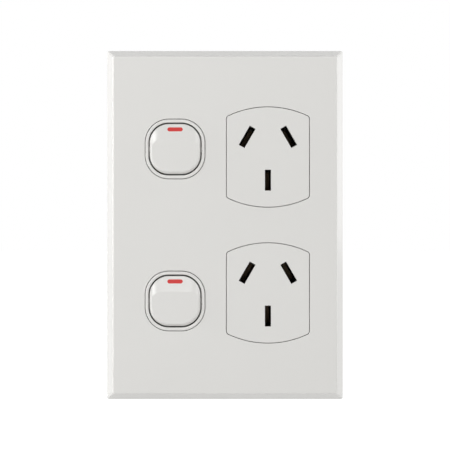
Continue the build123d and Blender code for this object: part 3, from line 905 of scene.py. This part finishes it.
class Workbench:
    """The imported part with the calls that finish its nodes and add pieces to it."""

    def __init__(self, frame: dict) -> None:
        """Starts with no material made.

        Args:
            frame: The loaded frame.
        """
        self.nodes: dict[str, bpy.types.Object] = frame["nodes"]
        self.joints: dict[str, dict] = {joint["name"]: joint for joint in frame["joints"]}
        self.materials: dict[Slot, bpy.types.Material] = {}

    def material(self, finish: SurfaceFinish) -> bpy.types.Material:
        """Finds a finish's material, or builds it the first time.

        Args:
            finish: The finish.

        Returns:
            Its material.
        """
        if finish.slot not in self.materials:
            self.materials[finish.slot] = finish.material()
        return self.materials[finish.slot]

    def dress(self, node: str, finish: SurfaceFinish) -> None:
        """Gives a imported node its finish.

        Args:
            node: The node's name.
            finish: The finish that covers it.
        """
        part = self.nodes[node]
        if not part.material_slots:
            part.data.materials.append(None)
        for slot in part.material_slots:
            slot.material = self.material(finish)
        LOG.info("dressed %s in %s", node, finish.slot.value)

    def add(
        self,
        mesh: bpy.types.Mesh,
        place: Vector,
        finish: SurfaceFinish,
        body: str,
        stands_for: str,
    ) -> bpy.types.Object:
        """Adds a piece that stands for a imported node.

        Args:
            mesh: The piece's mesh, round its own origin; its name becomes the piece's.
            place: Where the origin goes.
            finish: The finish that covers it.
            body: The body that it rides on.
            stands_for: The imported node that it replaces.

        Returns:
            The new piece.
        """
        piece = put_in_scene(mesh.name, mesh)
        piece.location = place
        mesh.materials.append(self.material(finish))
        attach(piece, body)
        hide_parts(stands_for)
        LOG.info("added %s for %s", piece.name, stands_for)
        return piece


@dataclass
class Screw:
    """A screw with a rolled thread, along Y with its head at the far end.

    The origin is the middle of the head's outer face, so the shank runs towards -Y from it.
    """

    name: str
    length: float
    shank_radius: float
    head_radius: float
    head_height: float
    drive: Drive
    recess_width: float
    recess_depth: float
    thread_pitch: float
    thread_depth: float = 0.00022
    edge_radius: float = 0.00030
    tip_length: float = 0.0004
    tip_depths: float = 2.0
    sides: int = 48
    rows_in_pitch: int = 8
    edge_steps: int = 4
    cross_taper: float = 0.7

    def mesh(self) -> bpy.types.Mesh:
        """Builds the screw and cuts its recess.

        Returns:
            The screw's mesh.
        """
        body = self.helper(self.turned())
        cutter = self.helper(self.recess())
        cut = body.modifiers.new("recess", "BOOLEAN")
        cut.object = cutter
        cut.operation = "DIFFERENCE"
        cut.solver = "EXACT"
        graph = bpy.context.evaluated_depsgraph_get()
        made = bpy.data.meshes.new_from_object(body.evaluated_get(graph))
        made.name = self.name
        for helper in (body, cutter):
            bpy.data.objects.remove(helper)
        smooth_shading(made)
        return made

    def helper(self, shape: bmesh.types.BMesh) -> bpy.types.Object:
        """Turns a bmesh into a helper object in the scene."""
        name = f"{self.name}_shape"
        return put_in_scene(name, mesh_from(shape, name))

    def outline(self) -> list[Triple]:
        """Lists the rings from tip to head.

        Returns:
            For each ring its place along Y, its radius, and its share of the thread's depth.
        """
        rings = [(-self.length, self.shank_radius - self.tip_depths * self.thread_depth, 0.0)]
        row_gap = self.thread_pitch / self.rows_in_pitch
        threaded = self.length - self.head_height - self.tip_length
        for row in range(round(threaded / row_gap) + 1):
            along = row * row_gap
            fade = min(1.0, along / self.thread_pitch, (threaded - along) / self.thread_pitch)
            rings.append((along + self.tip_length - self.length, self.shank_radius, max(0.0, fade)))
        rings.append((-self.head_height, self.shank_radius - self.thread_depth, 0.0))
        under_edge = (-QUARTER_TURN, self.edge_radius - self.head_height)
        outer_edge = (0.0, -self.edge_radius)
        for start, centre in (under_edge, outer_edge):
            for step in range(self.edge_steps + 1):
                turn = start + QUARTER_TURN * step / self.edge_steps
                radius = self.head_radius - self.edge_radius * (1 - math.cos(turn))
                rings.append((centre + self.edge_radius * math.sin(turn), radius, 0.0))
        return rings

    def turned(self) -> bmesh.types.BMesh:
        """Turns the outline round Y, with the thread winding along the shank.

        Returns:
            The screw without its recess.
        """
        shape = bmesh.new()
        rings = []
        for along, radius, share in self.outline():
            ring = []
            for side in range(self.sides):
                turn = side / self.sides
                phase = (along / self.thread_pitch + turn) % 1.0
                reach = radius - self.thread_depth * share * abs(2 * phase - 1)
                angle = math.tau * turn
                ring.append(shape.verts.new((reach * math.cos(angle), along, reach * math.sin(angle))))
            rings.append(ring)
        close_skin(shape, rings)
        return shape

    def recess(self) -> bmesh.types.BMesh:
        """Builds the block that cuts the driver's recess.

        Returns:
            The block, half of which stands out of the head.
        """
        half_width = self.recess_width / 2
        if self.drive is Drive.SLOT:
            reach = self.head_radius + self.edge_radius
            lower_side = [(-reach, -half_width), (reach, -half_width)]
            upper_side = [(reach, half_width), (-reach, half_width)]
            corners = lower_side + upper_side
            taper = 1.0
        else:
            reach = self.head_radius - self.recess_width
            arm = ((half_width, -half_width), (reach, -half_width), (reach, half_width))
            corners = []
            for quarter in range(QUARTERS):
                turn = Matrix.Rotation(QUARTER_TURN * quarter, 2)
                corners.extend(tuple(turn @ Vector(corner)) for corner in arm)
            taper = self.cross_taper
        shape = bmesh.new()
        rings = []
        for along, scale in ((-self.recess_depth, taper), (self.recess_depth, 2 - taper)):
            rings.append([shape.verts.new((x * scale, along, z * scale)) for x, z in corners])
        close_skin(shape, rings)
        return shape


@dataclass
class CoilSpring:
    """A compression spring with its end turns closed and ground flat, from its seat at the origin."""

    name: str
    length: float
    axis: Vector
    coil_radius: float = 0.00125
    wire_radius: float = 0.0002
    turns: float = 6.5
    closed_turns: float = 0.75
    opening_turns: float = 0.5
    closed_pitch: float = 0.00042
    ground_share: float = 0.3
    steps_in_turn: int = 36
    wire_sides: int = 14

    def heights(self) -> list[float]:
        """Works out how the wire climbs: close wound at both ends, open between.

        Returns:
            The wire's height above the seat, step by step.
        """
        count = round(self.turns * self.steps_in_turn)
        opened = []
        for step in range(count):
            middle = step + 1 / 2
            turn = middle / self.steps_in_turn
            from_end = min(turn, self.turns - turn) - self.closed_turns
            opened.append(min(1.0, max(0.0, from_end / self.opening_turns)))
        first = self.ground_share * self.wire_radius
        climb = (self.length - 2 * first) * self.steps_in_turn
        extra_pitch = (climb - count * self.closed_pitch) / sum(opened)
        found = [first]
        for share in opened:
            found.append(found[-1] + (self.closed_pitch + share * extra_pitch) / self.steps_in_turn)
        return found

    def mesh(self) -> bpy.types.Mesh:
        """Sweeps the wire along its coil, with nothing past the two ground planes.

        Returns:
            The spring's mesh.
        """
        lean = UP.rotation_difference(self.axis)
        shape = bmesh.new()
        rings = []
        for step, rise in enumerate(self.heights()):
            angle = math.tau * step / self.steps_in_turn
            ring = []
            for side in range(self.wire_sides):
                turn = math.tau * side / self.wire_sides
                reach = self.coil_radius + self.wire_radius * math.cos(turn)
                along = min(max(rise + self.wire_radius * math.sin(turn), 0.0), self.length)
                point = Vector((reach * math.cos(angle), reach * math.sin(angle), along))
                ring.append(shape.verts.new(lean @ point))
            rings.append(ring)
        close_skin(shape, rings)
        made = mesh_from(shape, self.name)
        smooth_shading(made)
        return made


@dataclass
class Front:
    """The clip-on cover and the frame that it clips to."""

    bench: Workbench

    def build(self) -> None:
        """Dresses the cover and the frame."""
        self.bench.dress("cover_plate", WHITE_PLASTIC)
        self.bench.dress("mounting_frame", GREY_PLASTIC)


@dataclass
class Outlet:
    """One socket: its white face, the black block behind it and its active contact."""

    bench: Workbench
    place: Place

    def build(self) -> None:
        """Dresses the face, the block and the contact."""
        self.bench.dress(f"socket_face_{self.place.value}", WHITE_PLASTIC)
        self.bench.dress(f"contact_block_{self.place.value}", BLACK_PLASTIC)
        self.bench.dress(f"active_contact_{self.place.value}", CONTACT_BRONZE)


@dataclass
class Switch:
    """One switch: body, rocker with its red bar, and the mechanism inside."""

    bench: Workbench
    place: Place
    spring_seat: float = 0.00261
    spring_length: float = 0.00533

    def build(self) -> None:
        """Dresses every node of the switch and adds its spring."""
        finishes = {
            "switch_body": WHITE_PLASTIC,
            "rocker": WHITE_PLASTIC,
            "on_marker": RED_MARKER,
            "plunger": NATURAL_NYLON,
            "contact_arm": CONTACT_BRONZE,
            "arm_contact": CONTACT_SILVER,
        }
        for piece, finish in finishes.items():
            self.bench.dress(f"{piece}_{self.place.value}", finish)
        self.add_spring()

    def add_spring(self) -> None:
        """Adds the coil spring, which rides on the rocker."""
        place = self.place.value
        rocker = f"rocker_{place}"
        slide_name = f"plunger_{place}_slide"
        slide = self.bench.joints[slide_name]
        axis = -Vector(slide["axis"])
        seat = Vector(self.bench.joints[f"{rocker}_hinge"]["pos_m"]) + self.spring_seat * axis
        spring = CoilSpring(f"coil_spring_{place}", self.spring_length, axis)
        piece = self.bench.add(spring.mesh(), seat, SPRING_STEEL, rocker, f"plunger_spring_{place}")
        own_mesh(piece)


@dataclass
class Wiring:
    """The strips, the tunnel terminals and their clamp screws."""

    bench: Workbench
    screw_head_height: float = 0.0016
    screw_recess_width: float = 0.0008
    screw_recess_depth: float = 0.0008
    screw_shank_radius: float = 0.00168
    screw_thread_pitch: float = 0.0007

    def build(self) -> None:
        """Dresses the strips and terminals and adds a clamp screw to each terminal."""
        self.bench.dress("active_busbar", CONTACT_BRONZE)
        self.bench.dress("neutral_strip", CONTACT_BRONZE)
        self.bench.dress("earth_strip", CONTACT_BRONZE)
        self.bench.dress("fixed_contacts", CONTACT_SILVER)
        low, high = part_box("terminal_screws")
        for circuit in Circuit:
            terminal = f"{circuit.value}_terminal"
            self.bench.dress(terminal, TERMINAL_BRASS)
            block_low, block_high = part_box(terminal)
            screw = Screw(
                name=f"clamp_screw_{circuit.value}",
                length=high.y - low.y,
                shank_radius=self.screw_shank_radius,
                head_radius=(high.z - low.z) / 2,
                head_height=self.screw_head_height,
                drive=Drive.SLOT,
                recess_width=self.screw_recess_width,
                recess_depth=self.screw_recess_depth,
                thread_pitch=self.screw_thread_pitch,
            )
            place = Vector(((block_low.x + block_high.x) / 2, high.y, (low.z + high.z) / 2))
            self.bench.add(screw.mesh(), place, PLATED_STEEL, HOUSING, "terminal_screws")


@dataclass
class BackBox:
    """The rear housing and the three screws that hold it to the frame."""

    bench: Workbench
    screw_head_radius: float = 0.0026
    screw_head_height: float = 0.0014
    screw_shank_radius: float = 0.00123
    screw_recess_width: float = 0.0008
    screw_recess_depth: float = 0.0009
    screw_thread_pitch: float = 0.0009

    def build(self) -> None:
        """Dresses the housing and adds its screws."""
        self.bench.dress("rear_housing", GREY_PLASTIC)
        low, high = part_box("housing_screws")
        middle = (low + high) / 2
        ends = (high.z - self.screw_head_radius, middle.z, low.z + self.screw_head_radius)
        for name, rise in zip(("top", "middle", "bottom"), ends):
            screw = Screw(
                name=f"housing_screw_{name}",
                length=high.y - low.y,
                shank_radius=self.screw_shank_radius,
                head_radius=self.screw_head_radius,
                head_height=self.screw_head_height,
                drive=Drive.CROSS,
                recess_width=self.screw_recess_width,
                recess_depth=self.screw_recess_depth,
                thread_pitch=self.screw_thread_pitch,
            )
            place = Vector((middle.x, high.y, rise))
            self.bench.add(screw.mesh(), place, PLATED_STEEL, HOUSING, "housing_screws")


@dataclass(frozen=True)
class Softbox:
    """A soft studio light that faces the middle of the plate."""

    name: str
    place: Triple
    width: float
    height: float
    radiance: float

    def build(self) -> None:
        """Adds the light, unseen by the camera, with the power that gives its face this radiance."""
        lamp = bpy.data.lights.new(self.name, "AREA")
        lamp.shape = "RECTANGLE"
        lamp.size = self.width
        lamp.size_y = self.height
        lamp.energy = self.radiance * math.pi * self.width * self.height
        light = put_in_scene(self.name, lamp)
        light.location = self.place
        light.rotation_euler = (-Vector(self.place)).to_track_quat("-Z", "Y").to_euler()
        light.visible_camera = False


@dataclass(frozen=True)
class Glow:
    """One side of the room, brightest along its direction and fading to nothing square to it."""

    direction: Triple
    strength: float


@dataclass(frozen=True)
class Room:
    """The white room round the plate, which glows behind it and on its right."""

    colour: Colour = (1.0, 1.0, 1.0)
    glows: tuple[Glow, ...] = (
        Glow(direction=(0.0, 1.0, 0.0), strength=0.80),
        Glow(direction=(1.0, 0.0, 0.0), strength=1.03),
    )

    def build(self) -> None:
        """Lights the room, and shows its full colour where the camera looks past the plate."""
        world = bpy.data.worlds.new("white_room")
        world.use_nodes = True
        world.node_tree.nodes.clear()
        sheet = NodeSheet(world.node_tree)
        way = sheet.add("ShaderNodeTexCoord").outputs["Generated"]
        total: float | Socket = 0.0
        for glow in self.glows:
            facing = sheet.add("ShaderNodeVectorMath", operation="DOT_PRODUCT")
            sheet.join(way, facing.inputs[0])
            facing.inputs[1].default_value = glow.direction
            share = sheet.arithmetic("MAXIMUM", facing.outputs["Value"], 0.0)
            total = sheet.arithmetic("MULTIPLY_ADD", share, glow.strength, total)
        room = sheet.add("ShaderNodeBackground")
        sheet.join(total, room.inputs["Strength"])
        backdrop = sheet.add("ShaderNodeBackground")
        for background in (room, backdrop):
            background.inputs["Color"].default_value = (*self.colour, OPAQUE)
        seen = sheet.add("ShaderNodeLightPath").outputs["Is Camera Ray"]
        both = sheet.blend_shaders(seen, room.outputs["Background"], backdrop.outputs["Background"])
        sheet.join(both, sheet.add("ShaderNodeOutputWorld").inputs["Surface"])
        bpy.context.scene.world = world


@dataclass(frozen=True)
class Floor:
    """A white floor that lights the plate from below and keeps only a faint shadow."""

    height: float
    reach: float = 4.0
    colour: Colour = (0.80, 0.80, 0.79)
    glow_share: float = 0.85
    glow_seen: float = 1.15
    glow_cast: float = 0.754

    def build(self) -> None:
        """Adds the floor."""
        shape = bmesh.new()
        bmesh.ops.create_grid(shape, x_segments=1, y_segments=1, size=self.reach)
        mesh = mesh_from(shape, "floor")
        mesh.materials.append(self.material())
        floor = put_in_scene("floor", mesh)
        floor.location.z = self.height
        floor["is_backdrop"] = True

    def material(self) -> bpy.types.Material:
        """Builds the floor's paint, which the camera sees brighter than the plate does.

        Returns:
            The paint's material.
        """
        material, sheet, output = blank_material("studio_floor")
        matt = sheet.add("ShaderNodeBsdfDiffuse")
        matt.inputs["Color"].default_value = (*self.colour, OPAQUE)
        glow = sheet.add("ShaderNodeEmission")
        seen = sheet.add("ShaderNodeLightPath").outputs["Is Camera Ray"]
        sheet.join(sheet.spread(seen, self.glow_cast, self.glow_seen), glow.inputs["Strength"])
        both = sheet.blend_shaders(self.glow_share, matt.outputs["BSDF"], glow.outputs["Emission"])
        sheet.join(both, output.inputs["Surface"])
        return material


@dataclass(frozen=True)
class Camera:
    """A long lens that looks straight at the middle of the plate's face."""

    face_depth: float
    distance: float = 0.706
    view_width: float = 0.14832
    sensor: float = 36.0

    def build(self) -> None:
        """Adds the camera, turned up from looking down to looking along Y."""
        lens = bpy.data.cameras.new("camera")
        lens.sensor_width = self.sensor
        lens.lens = self.sensor * self.distance / self.view_width
        camera = put_in_scene("camera", lens)
        camera.location.y = self.face_depth - self.distance
        camera.rotation_euler.x = QUARTER_TURN
        bpy.context.scene.camera = camera


SOFTBOXES = (
    Softbox("softbox_left", place=(-0.60, -0.20, 0.05), width=0.5, height=0.7, radiance=1.67),
    Softbox("softbox_left_edge", place=(-0.62, 0.10, 0.05), width=0.4, height=0.7, radiance=3.10),
    Softbox("softbox_right_edge", place=(0.62, 0.10, 0.05), width=0.4, height=0.7, radiance=1.03),
    Softbox("softbox_key", place=(-0.42, -0.68, 0.42), width=0.3, height=0.3, radiance=8.15),
    Softbox("softbox_fill", place=(0.42, -0.68, 0.42), width=0.3, height=0.3, radiance=2.55),
    Softbox("softbox_front", place=(0.0, -0.84, 0.33), width=0.3, height=0.08, radiance=7.0),
)


@dataclass(frozen=True)
class Studio:
    """The floor, the room, the soft lights and the camera."""

    floor: Floor
    camera: Camera
    room: Room = Room()
    softboxes: tuple[Softbox, ...] = SOFTBOXES

    def build(self) -> None:
        """Sets up the picture."""
        self.floor.build()
        self.room.build()
        for softbox in self.softboxes:
            softbox.build()
        self.camera.build()
        bpy.context.scene.view_settings.view_transform = "Standard"
        LOG.info("set up the studio with %d soft lights", len(self.softboxes))


def main() -> None:
    """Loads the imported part, dresses its sub-assemblies and sets up the studio."""
    logging.basicConfig(level=logging.INFO, format="%(message)s")
    bench = Workbench(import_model())
    cad_low, cad_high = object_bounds()
    Front(bench).build()
    for place in Place:
        Outlet(bench, place).build()
        Switch(bench, place).build()
    Wiring(bench).build()
    BackBox(bench).build()
    Studio(Floor(height=cad_low.z), Camera(face_depth=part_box("cover_plate")[0].y)).build()


if __name__ == "__main__":
    main()
